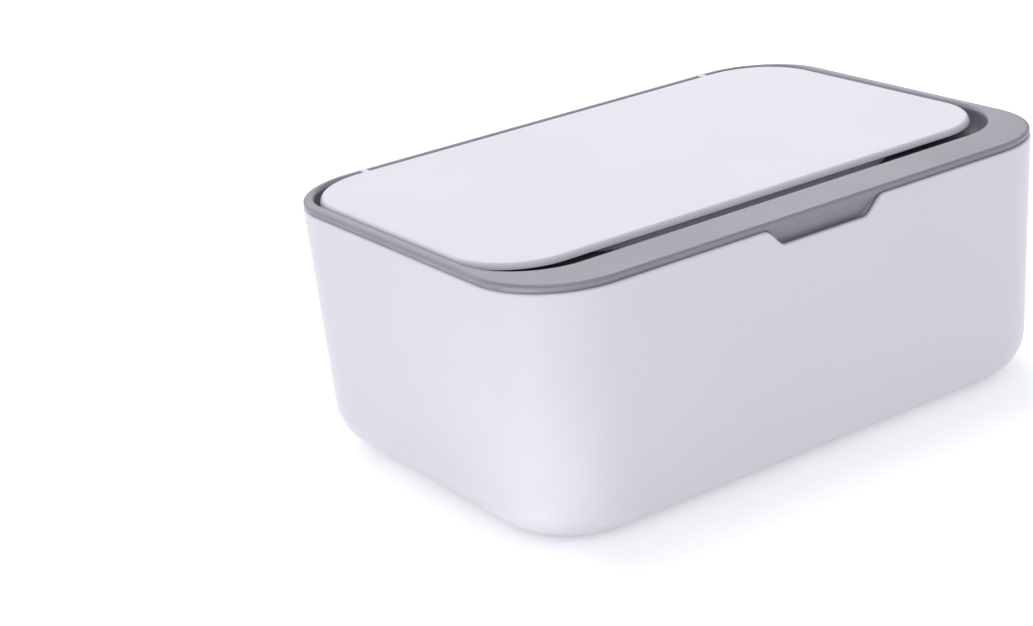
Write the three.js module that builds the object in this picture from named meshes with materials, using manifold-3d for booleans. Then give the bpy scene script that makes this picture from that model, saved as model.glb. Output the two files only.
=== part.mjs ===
// A refillable tissue box: a white moulded tub, a grey cover frame that plugs into it and lifts off
// for refilling, and a white flip lid whose two arms snap into the back of the frame. Millimetres,
// +Z up, the box's front towards -Y, and the origin on the ground under the middle of the box.

import * as THREE from 'three';
import { mergeVertices } from 'three/addons/utils/BufferGeometryUtils.js';
import Module from 'manifold-3d';

const wasm = await Module();
wasm.setup();

// Running gaps between pieces
const gap = {
  parting: 0.3,    // between the cover's flange and the tub's rim
  plug: 0.35,      // between the cover's skirt and the tub's lip
  soft: 0.05,      // between a soft piece and what it seals against or sits in
  foot: 0.2,       // round a foot in its recess
  slot: 0.3,       // between a lid arm and its slot
  knuckle: 0.25,   // between a lid knuckle and the tub's lip
  running: 0.07,   // between a hinge peg and its bore
  pegEnd: 0.3,     // between a peg's end and the bottom of its bore
  wallFoot: 0.4,   // between the lid's outer wall and the dish's floor
};

const overrun = 2;           // how far a cutting shape runs past the face that it cuts
const cornerSteps = 10;      // facets round a quarter of an outline's corner
const roundSteps = 4;        // facets over a small rounded edge
const sweepSteps = 8;        // facets over a wide fillet

const foot = {
  radius: 6,
  thickness: 1.8,
  proud: 0.6,
  chamfer: 0.4,
  inset: 29,       // from the tub's base outline to the foot's centre
  facets: 32,
};

const tub = {
  length: 220,
  width: 156,
  height: 85.5,
  cornerRadius: 30.3,
  endTaper: 1.05,           // how far each wall comes in from the rim down to the base
  sideTaper: 3.05,
  baseCornerRadius: 31.6,
  baseFillet: 15.2,
  wall: 2.4,
  floor: 2.4,
  lip: 1.2,                 // the thinner top of the wall, which takes the cover's skirt
  lipDepth: 10,
  rimRound: 0.4,
};

// The finger notch in the tub's front rim, with a falling S on each side
const notch = {
  topWidth: 49.6,
  floorWidth: 31.2,
  depth: 6,
  steps: 10,
};

const cover = {
  height: 2.4,              // the flange's thickness, and the only part seen from outside
  edgeRound: 0.65,          // how far its outer edge's rounding drops
  edgeRun: 1.2,             // how far in the rounding begins
  sideLean: 0.45,           // how far its side leans in, down to its underside
  skirt: 1.8,
  leadIn: 0.3,
  wall: 1.9,                // the dish's wall and floor
  frontBand: 17.6,          // from the outer edge to the dish
  sideRim: 4.5,
  backRim: 4.7,
  dishRadius: 26,           // the dish's corner radius in plan
  dishDepth: 7.6,
  dishEdge: 1,
};

// Stiffening ribs in the hollow under the front band
const rib = {
  count: 5,
  thickness: 1.4,
};

const gasket = {
  rise: 2.4,                // from the tub's shoulder up to the gasket's middle
  height: 2.2,
  depth: 1,                 // how deep its groove is
  sideInset: 0.15,          // how far its top and bottom edges stay inside the skirt's face
};

// The soft mouth that is buttoned into the middle of the cover's dish
const mouth = {
  length: 94,
  width: 64,
  radius: 24,
  y: 0,
  flangeLap: 3,
  flangeThickness: 1.4,
  flangeRound: 0.7,
  clipLap: 1.2,
  clipThickness: 1.2,
  rim: 1.6,                 // from the neck's outside to the bowl's mouth
  bowlDepth: 4.8,
  skin: 1.4,
  slotLip: 6,               // the bowl's flat bottom, round the slot
  slotLength: 62,
  slotWidth: 9,
};

// The collar round the mouth, the sealing ring that sits on it and the lid's walls that hold the ring
const seal = {
  endRoom: 20,              // from the mouth's flange to the outside of the lid's outer wall
  sideRoom: 11,
  radius: 14,
  outerWall: 1.6,
  ring: 4,
  innerWall: 1.4,
  bead: 1,
  collar: 2.2,
  collarHeight: 2,
};

const lid = {
  thickness: 2.5,
  sideGap: 0.9,
  frontGap: 8.2,            // room for a fingertip under the lid's front edge
  backGap: 0.9,
  frontRadius: 25,
  backRadius: 29,
};

const hinge = {
  inset: 29.5,              // from the lid's side edge to the middle of an arm
  armWidth: 2.4,
  armRoot: 6,               // how far the arm runs in from the lid's back edge
  knuckleRadius: 1.7,
  pegRadius: 1.1,
  pegLength: 1.8,
  pegChamfer: 0.4,          // lets the peg spring the slot's side apart as it snaps in
  slotChamfer: 0.5,
  boss: 1.6,                // the frame's thickness under the slot and past the pegs' bores
  facets: 24,
};

// Heights and places that follow from the sizes above, measured from the tub's base
const flangeUnder = tub.height + gap.parting;
const coverTop = flangeUnder + cover.height;
const shoulder = tub.height - tub.lipDepth;
const dishFloor = coverTop - cover.dishDepth;
const lidTop = coverTop;    // the closed lid lies flush with the cover
const lidUnder = lidTop - lid.thickness;
const sealUnder = dishFloor + seal.collarHeight + gap.soft;
const gasketMiddle = shoulder + gasket.rise;
const hingeY = tub.width / 2 - tub.lip - gap.knuckle - hinge.knuckleRadius;
const hingeZ = lidTop - hinge.knuckleRadius;
const slotFloor = hingeZ - hinge.knuckleRadius - gap.slot;

// Outlines. An outline is a rounded rectangle, even about x = 0, with its own front and back corners.

function outlineAround(length, width, radius, y = 0) {
  return {
    half: length / 2, front: y - width / 2, back: y + width / 2, frontRadius: radius, backRadius: radius,
  };
}

function grown(outline, by) {
  return {
    half: outline.half + by,
    front: outline.front - by,
    back: outline.back + by,
    frontRadius: outline.frontRadius + by,
    backRadius: outline.backRadius + by,
  };
}

function between(a, b, share) {
  const mixed = {};
  for (const key of Object.keys(a)) mixed[key] = THREE.MathUtils.lerp(a[key], b[key], share);
  return mixed;
}

function outlinePoints(outline) {
  const points = [];
  const corners = [[1, -1], [1, 1], [-1, 1], [-1, -1]];
  corners.forEach(([sideX, sideY], quarter) => {
    const radius = sideY < 0 ? outline.frontRadius : outline.backRadius;
    const centreX = sideX * (outline.half - radius);
    const centreY = sideY < 0 ? outline.front + radius : outline.back - radius;
    for (let step = 0; step <= cornerSteps; step++) {
      const angle = (quarter - 1 + step / cornerSteps) * Math.PI / 2;
      points.push([centreX + radius * Math.cos(angle), centreY + radius * Math.sin(angle)]);
    }
  });
  return points;
}

// Solids

function solidOf(geometry) {
  const bare = geometry.clone();
  bare.deleteAttribute('normal');
  bare.deleteAttribute('uv');
  const merged = mergeVertices(bare);
  return new wasm.Manifold(new wasm.Mesh({
    numProp: 3,
    vertProperties: new Float32Array(merged.attributes.position.array),
    triVerts: new Uint32Array(merged.index.array),
  }));
}

function geometryOf(solid) {
  const mesh = solid.getMesh();
  const geometry = new THREE.BufferGeometry();
  geometry.setAttribute('position', new THREE.BufferAttribute(mesh.vertProperties, 3));
  geometry.setIndex(new THREE.BufferAttribute(mesh.triVerts, 1));
  geometry.computeVertexNormals();
  return geometry;
}

// A closed loft through outlines that are listed from the lowest to the highest
function loft(levels) {
  const rings = levels.map((level) => outlinePoints(level.outline));
  const count = rings[0].length;
  const positions = [];
  const index = [];
  rings.forEach((ring, k) => ring.forEach(([x, y]) => positions.push(x, y, levels[k].z)));
  for (let k = 0; k < rings.length - 1; k++) {
    for (let i = 0; i < count; i++) {
      const j = (i + 1) % count;
      const low = k * count;
      const high = low + count;
      index.push(low + i, low + j, high + j, low + i, high + j, high + i);
    }
  }
  const last = rings.length - 1;
  for (let i = 1; i < count - 1; i++) {
    index.push(0, i + 1, i);
    index.push(last * count, last * count + i, last * count + i + 1);
  }
  const geometry = new THREE.BufferGeometry();
  geometry.setAttribute('position', new THREE.Float32BufferAttribute(positions, 3));
  geometry.setIndex(index);
  return solidOf(geometry);
}

function prism(outline, low, high) {
  return loft([{ outline, z: low }, { outline, z: high }]);
}

function block(x, y, z) {
  const [width, depth, height] = [x, y, z].map(([low, high]) => high - low);
  const [centreX, centreY, centreZ] = [x, y, z].map(([low, high]) => (low + high) / 2);
  return solidOf(new THREE.BoxGeometry(width, depth, height).translate(centreX, centreY, centreZ));
}

// A drawn shape carried along X: the shape's own x is the model's y, and its own y is the model's z
function extrudeAlongX(shape, width, centreX) {
  const geometry = new THREE.ExtrudeGeometry(shape, { depth: width, bevelEnabled: false });
  const turn = new THREE.Matrix4().makeBasis(
    new THREE.Vector3(0, 1, 0), new THREE.Vector3(0, 0, 1), new THREE.Vector3(1, 0, 0),
  );
  return solidOf(geometry.applyMatrix4(turn).translate(centreX - width / 2, 0, 0));
}

// A drawn shape carried along Y: the shape's own y is the model's z
function extrudeAlongY(shape, low, high) {
  const geometry = new THREE.ExtrudeGeometry(shape, { depth: high - low, bevelEnabled: false });
  return solidOf(geometry.rotateX(Math.PI / 2).translate(0, high, 0));
}

// A round bar on the hinge's axis
function rod(radius, length, x) {
  const geometry = new THREE.CylinderGeometry(radius, radius, length, hinge.facets);
  return solidOf(geometry.rotateZ(Math.PI / 2).translate(x, hingeY, hingeZ));
}

function quarter(steps) {
  return Array.from({ length: steps + 1 }, (_, step) => (step / steps) * Math.PI / 2);
}

// The tub's outside at any height, from its base to its rim and on up in line with its walls
function tubOutline(z) {
  const base = outlineAround(
    tub.length - 2 * tub.endTaper, tub.width - 2 * tub.sideTaper, tub.baseCornerRadius,
  );
  const rim = outlineAround(tub.length, tub.width, tub.cornerRadius);
  return between(base, rim, z / tub.height);
}

function filletLevels(fillet, floor, inset) {
  return quarter(sweepSteps).map((angle) => {
    const z = floor + fillet * (1 - Math.cos(angle));
    return { outline: grown(tubOutline(z), -inset - fillet * (1 - Math.sin(angle))), z };
  });
}

function footPlaces() {
  const base = tubOutline(0);
  const x = base.half - foot.inset;
  const y = base.back - foot.inset;
  return { front_left: [-x, -y], front_right: [x, -y], back_left: [-x, y], back_right: [x, y] };
}

function notchShape(inset = 0) {
  const shape = new THREE.Shape();
  const side = [];
  for (let step = 0; step <= notch.steps; step++) {
    const share = step / notch.steps;
    const halfWidth = THREE.MathUtils.lerp(notch.topWidth, notch.floorWidth, share) / 2 - inset;
    side.push([halfWidth, tub.height + inset - notch.depth * (1 - Math.cos(Math.PI * share)) / 2]);
  }
  const top = tub.height + overrun;
  shape.moveTo(inset - notch.topWidth / 2, top);
  for (const [x, z] of side) shape.lineTo(-x, z);
  for (const [x, z] of side.reverse()) shape.lineTo(x, z);
  shape.lineTo(notch.topWidth / 2 - inset, top);
  return shape;
}

function makeTub() {
  const rimLevels = quarter(roundSteps).map((angle) => ({
    outline: grown(tubOutline(tub.height), -tub.rimRound * (1 - Math.cos(angle))),
    z: tub.height - tub.rimRound * (1 - Math.sin(angle)),
  }));
  const outside = loft([...filletLevels(tub.baseFillet, 0, 0), ...rimLevels]);
  const inside = loft([
    ...filletLevels(tub.baseFillet - tub.wall, tub.floor, tub.wall),
    { outline: grown(tubOutline(shoulder), -tub.wall), z: shoulder },
    { outline: grown(tubOutline(tub.height), -tub.wall), z: tub.height },
  ]);
  const lipPocket = loft([
    { outline: grown(tubOutline(shoulder), -tub.lip), z: shoulder },
    { outline: grown(tubOutline(tub.height + overrun), -tub.lip), z: tub.height + overrun },
  ]);
  let solid = outside.subtract(inside).subtract(lipPocket);
  const front = -tub.width / 2;
  solid = solid.subtract(extrudeAlongY(notchShape(), front - overrun, front + tub.wall + overrun));
  for (const [x, y] of Object.values(footPlaces())) {
    const depth = foot.thickness - foot.proud;
    const radius = foot.radius + gap.foot;
    const pocket = new THREE.CylinderGeometry(radius, radius, depth + overrun, foot.facets);
    solid = solid.subtract(solidOf(pocket.rotateX(Math.PI / 2).translate(x, y, (depth - overrun) / 2)));
  }
  return solid;
}

function makeFoot() {
  const profile = [
    [0, 0],
    [foot.radius - foot.chamfer, 0],
    [foot.radius, foot.chamfer],
    [foot.radius, foot.thickness],
    [0, foot.thickness],
  ].map(([radius, height]) => new THREE.Vector2(radius, height));
  return solidOf(new THREE.LatheGeometry(profile, foot.facets).rotateX(Math.PI / 2));
}

// The dish's edge in plan, where the band and the rims end
function dishOutline() {
  const rim = tubOutline(tub.height);
  return {
    half: rim.half - cover.sideRim,
    front: rim.front + cover.frontBand,
    back: rim.back - cover.backRim,
    frontRadius: cover.dishRadius,
    backRadius: cover.dishRadius,
  };
}

// The dish is a flat floor with hollow sides, and the frame's wall follows it a wall's width outside
function dishSolid(wall) {
  const sweep = cover.dishDepth - cover.dishEdge;
  const levels = quarter(sweepSteps).map((angle) => ({
    outline: grown(dishOutline(), (sweep + wall) * Math.sin(angle) - sweep),
    z: dishFloor + sweep - (sweep + wall) * Math.cos(angle),
  }));
  if (wall > 0) {
    levels.push({ outline: grown(dishOutline(), wall), z: coverTop });
  } else {
    for (const angle of quarter(roundSteps).slice(1)) {
      levels.push({
        outline: grown(dishOutline(), cover.dishEdge * (1 - Math.cos(angle))),
        z: coverTop - cover.dishEdge * (1 - Math.sin(angle)),
      });
    }
    levels.push({ outline: grown(dishOutline(), cover.dishEdge), z: coverTop + overrun });
  }
  return loft(levels);
}

function skirtOutline(z, inset = 0) {
  return grown(tubOutline(z), -tub.lip - gap.plug - inset);
}

function mouthOutline(by = 0) {
  return grown(outlineAround(mouth.length, mouth.width, mouth.radius, mouth.y), by);
}

function sealOutline(inset) {
  const flange = mouthOutline(mouth.flangeLap);
  return grown({
    half: flange.half + seal.endRoom,
    front: flange.front - seal.sideRoom,
    back: flange.back + seal.sideRoom,
    frontRadius: seal.radius,
    backRadius: seal.radius,
  }, -inset);
}

function hingeCentres() {
  const x = lidOutline().half - hinge.inset;
  return [-x, x];
}

function slotShape() {
  const back = hingeY + hinge.knuckleRadius + gap.slot;
  const front = lidOutline().back - hinge.armRoot;
  const shape = new THREE.Shape();
  shape.moveTo(front, slotFloor);
  shape.lineTo(back, slotFloor);
  shape.lineTo(back, hingeZ);
  shape.lineTo(back + hinge.slotChamfer, coverTop);
  shape.lineTo(back + hinge.slotChamfer, coverTop + overrun);
  shape.lineTo(front, coverTop + overrun);
  return shape;
}

// The finger pull. In the tub's notch the flange's leaning side runs on down to the notch's floor, first
// in front of the skirt's face and then cut into it, and it keeps clear of the notch's edge.
function addPull(solid) {
  const front = tubOutline(tub.height).front;
  const top = coverTop - cover.edgeRound;
  const low = tub.height - notch.depth;
  const lean = cover.sideLean * (top - low) / (top - flangeUnder);
  const inside = skirtOutline(low, cover.skirt).front;
  const shape = new THREE.Shape();
  shape.moveTo(front, top);
  shape.lineTo(front + lean, low);
  shape.lineTo(inside, low);
  shape.lineTo(inside, top);
  const face = extrudeAlongX(shape, notch.topWidth, 0);
  const room = extrudeAlongY(notchShape(), front - overrun, front + lean);
  const pull = extrudeAlongY(notchShape(gap.plug), front, inside).intersect(face);
  return solid.subtract(room.subtract(face)).add(pull);
}

function makeCover() {
  const rim = tubOutline(tub.height);
  const skirt = loft([
    { outline: skirtOutline(shoulder, cover.leadIn), z: shoulder },
    { outline: skirtOutline(shoulder + cover.leadIn), z: shoulder + cover.leadIn },
    { outline: skirtOutline(coverTop - cover.edgeRound), z: coverTop - cover.edgeRound },
  ]);
  const flange = loft([
    { outline: grown(rim, -cover.sideLean), z: flangeUnder },
    ...quarter(roundSteps + 1).map((angle) => ({
      outline: grown(rim, -cover.edgeRun * (1 - Math.cos(angle))),
      z: coverTop - cover.edgeRound * (1 - Math.sin(angle)),
    })),
  ]);

  let hollow = loft([
    { outline: skirtOutline(shoulder - overrun, cover.skirt), z: shoulder - overrun },
    { outline: skirtOutline(flangeUnder, cover.skirt), z: flangeUnder },
  ]).subtract(dishSolid(cover.wall));
  const dish = dishOutline();
  const ribSpan = dish.half - dish.frontRadius;
  for (let i = 0; i < rib.count; i++) {
    const x = THREE.MathUtils.lerp(-ribSpan, ribSpan, i / (rib.count - 1));
    hollow = hollow.subtract(block(
      [x - rib.thickness / 2, x + rib.thickness / 2],
      [rim.front, dish.front + cover.dishDepth],
      [dishFloor - cover.wall, coverTop],
    ));
  }
  const slotWidth = hinge.armWidth + 2 * gap.slot;
  const boreLength = slotWidth + 2 * (hinge.pegLength - gap.slot + gap.pegEnd);
  for (const x of hingeCentres()) {
    const half = boreLength / 2 + hinge.boss;
    hollow = hollow.subtract(block(
      [x - half, x + half],
      [lidOutline().back - hinge.armRoot, rim.back],
      [slotFloor - hinge.boss, coverTop],
    ));
  }
  let solid = skirt.add(flange).subtract(hollow).subtract(dishSolid(0));

  const grooveLow = gasketMiddle - gasket.height / 2;
  const grooveHigh = gasketMiddle + gasket.height / 2 + gap.soft;
  const groove = prism(rim, grooveLow, grooveHigh).subtract(loft([
    { outline: skirtOutline(grooveLow, gasket.depth), z: grooveLow },
    { outline: skirtOutline(grooveHigh, gasket.depth), z: grooveHigh },
  ]));
  solid = solid.subtract(groove);

  solid = addPull(solid);

  solid = solid.subtract(prism(mouthOutline(), dishFloor - cover.wall - overrun, dishFloor + overrun));
  const collarInset = seal.outerWall + seal.ring / 2 - seal.collar / 2;
  const collar = prism(sealOutline(collarInset), dishFloor - cover.wall, dishFloor + seal.collarHeight)
    .subtract(prism(sealOutline(collarInset + seal.collar), dishFloor - overrun, coverTop));
  solid = solid.add(collar.subtract(prism(mouthOutline(), dishFloor - cover.wall - overrun, dishFloor)));

  for (const x of hingeCentres()) {
    solid = solid
      .subtract(extrudeAlongX(slotShape(), slotWidth, x))
      .subtract(rod(hinge.pegRadius + gap.running, boreLength, x));
  }
  return solid;
}

function makeGasket() {
  const low = gasketMiddle - gasket.height / 2;
  const high = gasketMiddle + gasket.height / 2;
  const outside = loft([
    { outline: skirtOutline(low, gasket.sideInset), z: low },
    { outline: skirtOutline(gasketMiddle, gap.soft - gap.plug), z: gasketMiddle },
    { outline: skirtOutline(high, gasket.sideInset), z: high },
  ]);
  const inside = loft([
    { outline: skirtOutline(low - overrun, gasket.depth - gap.soft), z: low - overrun },
    { outline: skirtOutline(high + overrun, gasket.depth - gap.soft), z: high + overrun },
  ]);
  return outside.subtract(inside);
}

// The soft mouth's bowl falls steeply at its rim and runs out flat round the slot
function bowlSolid(skin) {
  const slot = outlineAround(mouth.slotLength, mouth.slotWidth, mouth.slotWidth / 2, mouth.y);
  const rim = mouthOutline(-gap.soft - mouth.rim);
  const top = dishFloor + mouth.flangeThickness;
  const levels = quarter(sweepSteps).reverse().map((angle) => ({
    outline: grown(between(rim, grown(slot, mouth.slotLip), 1 - Math.cos(angle)), skin),
    z: top - mouth.bowlDepth * Math.sin(angle) - skin,
  }));
  levels.push({ outline: grown(rim, skin), z: top + (skin > 0 ? 0 : overrun) });
  return loft(levels);
}

function makeMouth() {
  const flangeTop = dishFloor + mouth.flangeThickness;
  const clipTop = dishFloor - cover.wall - gap.soft;
  const clipLow = clipTop - mouth.clipThickness;
  const flange = loft([
    { outline: mouthOutline(mouth.flangeLap), z: dishFloor },
    ...quarter(roundSteps).map((angle) => ({
      outline: mouthOutline(mouth.flangeLap - mouth.flangeRound * (1 - Math.cos(angle))),
      z: flangeTop - mouth.flangeRound * (1 - Math.sin(angle)),
    })),
  ]);
  const neck = prism(mouthOutline(-gap.soft), clipLow, flangeTop);
  const clip = loft([
    { outline: mouthOutline(-gap.soft), z: clipLow },
    { outline: mouthOutline(mouth.clipLap), z: clipTop },
  ]);
  const slot = outlineAround(mouth.slotLength, mouth.slotWidth, mouth.slotWidth / 2, mouth.y);
  const innerNeck = prism(mouthOutline(-gap.soft - mouth.rim), clipLow - overrun, flangeTop);
  const ring = flange.add(neck).add(clip).subtract(innerNeck);
  return ring.add(bowlSolid(mouth.skin))
    .subtract(bowlSolid(0))
    .subtract(prism(slot, clipLow - mouth.bowlDepth, flangeTop));
}

function lidOutline() {
  const dish = dishOutline();
  return {
    half: dish.half - lid.sideGap,
    front: dish.front + lid.frontGap,
    back: dish.back - lid.backGap,
    frontRadius: lid.frontRadius,
    backRadius: lid.backRadius,
  };
}

function makeLid() {
  const edge = lid.thickness / 2;
  const angles = [...quarter(roundSteps).reverse().map((angle) => -angle), ...quarter(roundSteps).slice(1)];
  let solid = loft(angles.map((angle) => ({
    outline: grown(lidOutline(), -edge * (1 - Math.cos(angle))),
    z: lidUnder + edge * (1 + Math.sin(angle)),
  })));

  const walls = [
    { inset: 0, thickness: seal.outerWall, low: dishFloor + gap.wallFoot },
    { inset: seal.outerWall + seal.ring, thickness: seal.innerWall, low: sealUnder + seal.bead },
  ];
  for (const { inset, thickness, low } of walls) {
    const outside = prism(sealOutline(inset), low, lidUnder + edge);
    const inside = prism(sealOutline(inset + thickness), low - overrun, lidUnder);
    solid = solid.add(outside.subtract(inside));
  }

  for (const x of hingeCentres()) {
    const armX = [x - hinge.armWidth / 2, x + hinge.armWidth / 2];
    solid = solid
      .add(block(armX, [lidOutline().back - hinge.armRoot, hingeY], [lidUnder, lidTop]))
      .add(rod(hinge.knuckleRadius, hinge.armWidth, x))
      .add(makePegs(x));
  }
  return solid;
}

// The two pegs of one arm, as a single round bar through its knuckle with chamfered ends
function makePegs(x) {
  const half = hinge.armWidth / 2 + hinge.pegLength;
  const profile = [
    [0, -half],
    [hinge.pegRadius - hinge.pegChamfer, -half],
    [hinge.pegRadius, -half + hinge.pegChamfer],
    [hinge.pegRadius, half - hinge.pegChamfer],
    [hinge.pegRadius - hinge.pegChamfer, half],
    [0, half],
  ].map(([radius, along]) => new THREE.Vector2(radius, along));
  const geometry = new THREE.LatheGeometry(profile, hinge.facets);
  return solidOf(geometry.rotateZ(Math.PI / 2).translate(x, hingeY, hingeZ));
}

// The sealing ring sits between the lid's two walls, with a round bead that meets the collar
function makeSeal() {
  const outerInset = seal.outerWall + gap.soft;
  const innerInset = seal.outerWall + seal.ring - gap.soft;
  const bead = quarter(roundSteps).map((angle) => ({
    shrink: seal.bead * (1 - Math.sin(angle)), z: sealUnder + seal.bead * (1 - Math.cos(angle)),
  }));
  const outside = loft([
    ...bead.map(({ shrink, z }) => ({ outline: sealOutline(outerInset + shrink), z })),
    { outline: sealOutline(outerInset), z: lidUnder },
  ]);
  const inside = loft([
    { outline: sealOutline(innerInset - seal.bead), z: sealUnder - overrun },
    ...bead.map(({ shrink, z }) => ({ outline: sealOutline(innerInset - shrink), z })),
    { outline: sealOutline(innerInset), z: lidUnder + overrun },
  ]);
  return outside.subtract(inside);
}

// Materials
const finish = {
  whiteShell: new THREE.MeshStandardMaterial({ color: 0xededf1, roughness: 0.42, metalness: 0 }),
  greyShell: new THREE.MeshStandardMaterial({ color: 0xb3b3ba, roughness: 0.45, metalness: 0 }),
  silicone: new THREE.MeshStandardMaterial({ color: 0xc9c9ce, roughness: 0.65, metalness: 0 }),
  softMouth: new THREE.MeshStandardMaterial({ color: 0xe4e4e8, roughness: 0.6, metalness: 0 }),
  rubber: new THREE.MeshStandardMaterial({ color: 0x8e8e94, roughness: 0.85, metalness: 0 }),
};

function piece(name, solid, material) {
  const mesh = new THREE.Mesh(geometryOf(solid), material);
  mesh.name = name;
  return mesh;
}

// The assembly, with the tub's base raised by what the feet stand proud
const box = new THREE.Group();
box.position.z = foot.proud;
box.add(piece('tub', makeTub(), finish.whiteShell));
for (const [place, [x, y]] of Object.entries(footPlaces())) {
  const pad = piece(`foot_${place}`, makeFoot(), finish.rubber);
  pad.position.set(x, y, -foot.proud);
  box.add(pad);
}

const coverAssembly = new THREE.Group();
coverAssembly.add(piece('cover_frame', makeCover(), finish.greyShell));
coverAssembly.add(piece('cover_gasket', makeGasket(), finish.silicone));
coverAssembly.add(piece('dispensing_mouth', makeMouth(), finish.softMouth));
box.add(coverAssembly);

const lidAssembly = new THREE.Group();
lidAssembly.add(piece('lid', makeLid(), finish.whiteShell));
lidAssembly.add(piece('lid_seal', makeSeal(), finish.silicone));
box.add(lidAssembly);

const root = new THREE.Group();
root.add(box);

export default root;
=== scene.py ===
import math

import bpy
import numpy as np
from mathutils import Euler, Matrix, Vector


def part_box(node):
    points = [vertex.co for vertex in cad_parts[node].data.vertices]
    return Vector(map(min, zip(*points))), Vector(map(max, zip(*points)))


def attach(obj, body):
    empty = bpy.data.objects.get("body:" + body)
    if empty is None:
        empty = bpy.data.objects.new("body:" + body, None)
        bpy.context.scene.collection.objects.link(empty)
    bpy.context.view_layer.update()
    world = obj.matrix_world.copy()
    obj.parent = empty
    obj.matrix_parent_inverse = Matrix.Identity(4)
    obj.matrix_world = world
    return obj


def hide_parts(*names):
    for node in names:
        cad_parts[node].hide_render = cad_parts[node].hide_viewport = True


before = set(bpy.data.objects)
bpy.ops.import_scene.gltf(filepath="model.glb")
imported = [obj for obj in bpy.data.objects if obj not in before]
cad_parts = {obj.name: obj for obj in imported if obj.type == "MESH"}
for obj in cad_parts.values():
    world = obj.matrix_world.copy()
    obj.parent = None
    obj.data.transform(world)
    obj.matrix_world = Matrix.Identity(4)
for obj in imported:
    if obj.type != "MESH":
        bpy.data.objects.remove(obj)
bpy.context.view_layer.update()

mm = 0.001


def boxOf(node):
    # The low and the high corner of a node's box, in millimetres
    low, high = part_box(node)
    return np.array(low) / mm, np.array(high) / mm


# Places that the frame gives, in millimetres from the ground under the middle of the box
tubLow, tubHigh = boxOf("tub")
coverLow, coverHigh = boxOf("cover_frame")
lidLow, lidHigh = boxOf("lid")
mouthHigh = boxOf("dispensing_mouth")[1]
sealLow, sealHigh = boxOf("lid_seal")
gasketLow, gasketHigh = boxOf("cover_gasket")
print("frame loaded, box", np.round(tubHigh - tubLow, 1), "mm")

# Camera and light

camera = {
    "place": (-424.4, -562.7, 304.6),
    "turn": (69.170, 5.360, -34.580),     # degrees about X, Y and Z
    "lens": 75.861,
    "sensor": 36,
    "shiftX": -0.00097,
    "nearest": 10,
}


def makeCamera():
    # At the photo's angle, sharp at every depth and with next to no shift
    data = bpy.data.cameras.new("camera")
    data.lens = camera["lens"]
    data.sensor_width = camera["sensor"]
    data.shift_x = camera["shiftX"]
    data.clip_start = camera["nearest"] * mm
    thing = bpy.data.objects.new("camera", data)
    thing.location = [value * mm for value in camera["place"]]
    thing.rotation_euler = Euler([math.radians(angle) for angle in camera["turn"]])
    bpy.context.collection.objects.link(thing)
    bpy.context.scene.camera = thing


makeCamera()
bpy.context.scene.view_settings.view_transform = "Standard"
print("camera set")


def linear(hexColour):
    # sRGB hex to the linear colour that the shaders take
    parts = [int(hexColour[i:i + 2], 16) / 255 for i in (1, 3, 5)]
    return [part / 12.92 if part <= 0.04045 else ((part + 0.055) / 1.055) ** 2.4 for part in parts] + [1.0]


def addNode(tree, kind, inputs=None, **settings):
    # A node with its settings, whose inputs are plain values or the sockets that feed them
    node = tree.nodes.new(kind)
    for name, value in settings.items():
        setattr(node, name, value)
    for socket, value in (inputs or {}).items():
        if isinstance(value, bpy.types.NodeSocket):
            tree.links.new(value, node.inputs[socket])
        else:
            node.inputs[socket].default_value = value
    return node


def mouldedFinish(name, look):
    # A moulded plastic or rubber: faint cloudiness in its colour, a satin that varies a little over
    # centimetres, and the fine grain of a spark-eroded mould as bump
    material = bpy.data.materials.new(name)
    material.use_nodes = True
    tree = material.node_tree
    tree.nodes.clear()
    place = addNode(tree, "ShaderNodeTexCoord").outputs["Object"]
    cloud = addNode(tree, "ShaderNodeTexNoise", {
        "Vector": place, "Scale": 1 / (look["cloudSize"] * mm), "Detail": 3.0, "Roughness": 0.5,
    })
    colour = addNode(tree, "ShaderNodeMix", {
        "Factor": cloud.outputs["Fac"], "A": linear(look["colour"]), "B": linear(look["cloudColour"]),
    }, data_type="RGBA")
    satin = addNode(tree, "ShaderNodeMapRange", {
        "Value": cloud.outputs["Fac"], "From Min": 0.3, "From Max": 0.7,      # where most of the noise lies
        "To Min": look["roughness"] - look["roughnessSpread"],
        "To Max": look["roughness"] + look["roughnessSpread"],
    })
    grain = addNode(tree, "ShaderNodeTexNoise", {
        "Vector": place, "Scale": 1 / (look["grainSize"] * mm), "Detail": 2.0, "Roughness": 0.6,
    })
    bump = addNode(tree, "ShaderNodeBump", {
        "Height": grain.outputs["Fac"],
        "Strength": look["grainStrength"],
        "Distance": look["grainDepth"] * mm,
    })
    shader = addNode(tree, "ShaderNodeBsdfPrincipled", {
        "Base Color": colour.outputs["Result"],
        "Roughness": satin.outputs["Result"],
        "Normal": bump.outputs["Normal"],
        "IOR": look["ior"],
        "Specular IOR Level": look["shine"],
        "Subsurface Weight": look["glow"],
        "Subsurface Radius": [look["glowDepth"] * mm] * 3,
        "Subsurface Scale": 1.0,
    })
    addNode(tree, "ShaderNodeOutputMaterial", {"Surface": shader.outputs["BSDF"]})
    return material


# White polypropylene, injection moulded: a satin white that is a touch cool, with soft broad highlights.
# The mould's grain is about 0.05 mm and is drawn at 0.4 mm, so that it shows at all.
whitePolypropylene = mouldedFinish("whitePolypropylene", {
    "colour": "#CDCDD3", "cloudColour": "#D0D0D5", "cloudSize": 45,
    "roughness": 0.32, "roughnessSpread": 0.03, "ior": 1.49, "shine": 0.5,
    "grainSize": 0.4, "grainDepth": 0.01, "grainStrength": 0.25,
    "glow": 0.05, "glowDepth": 1.5,
})

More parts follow.
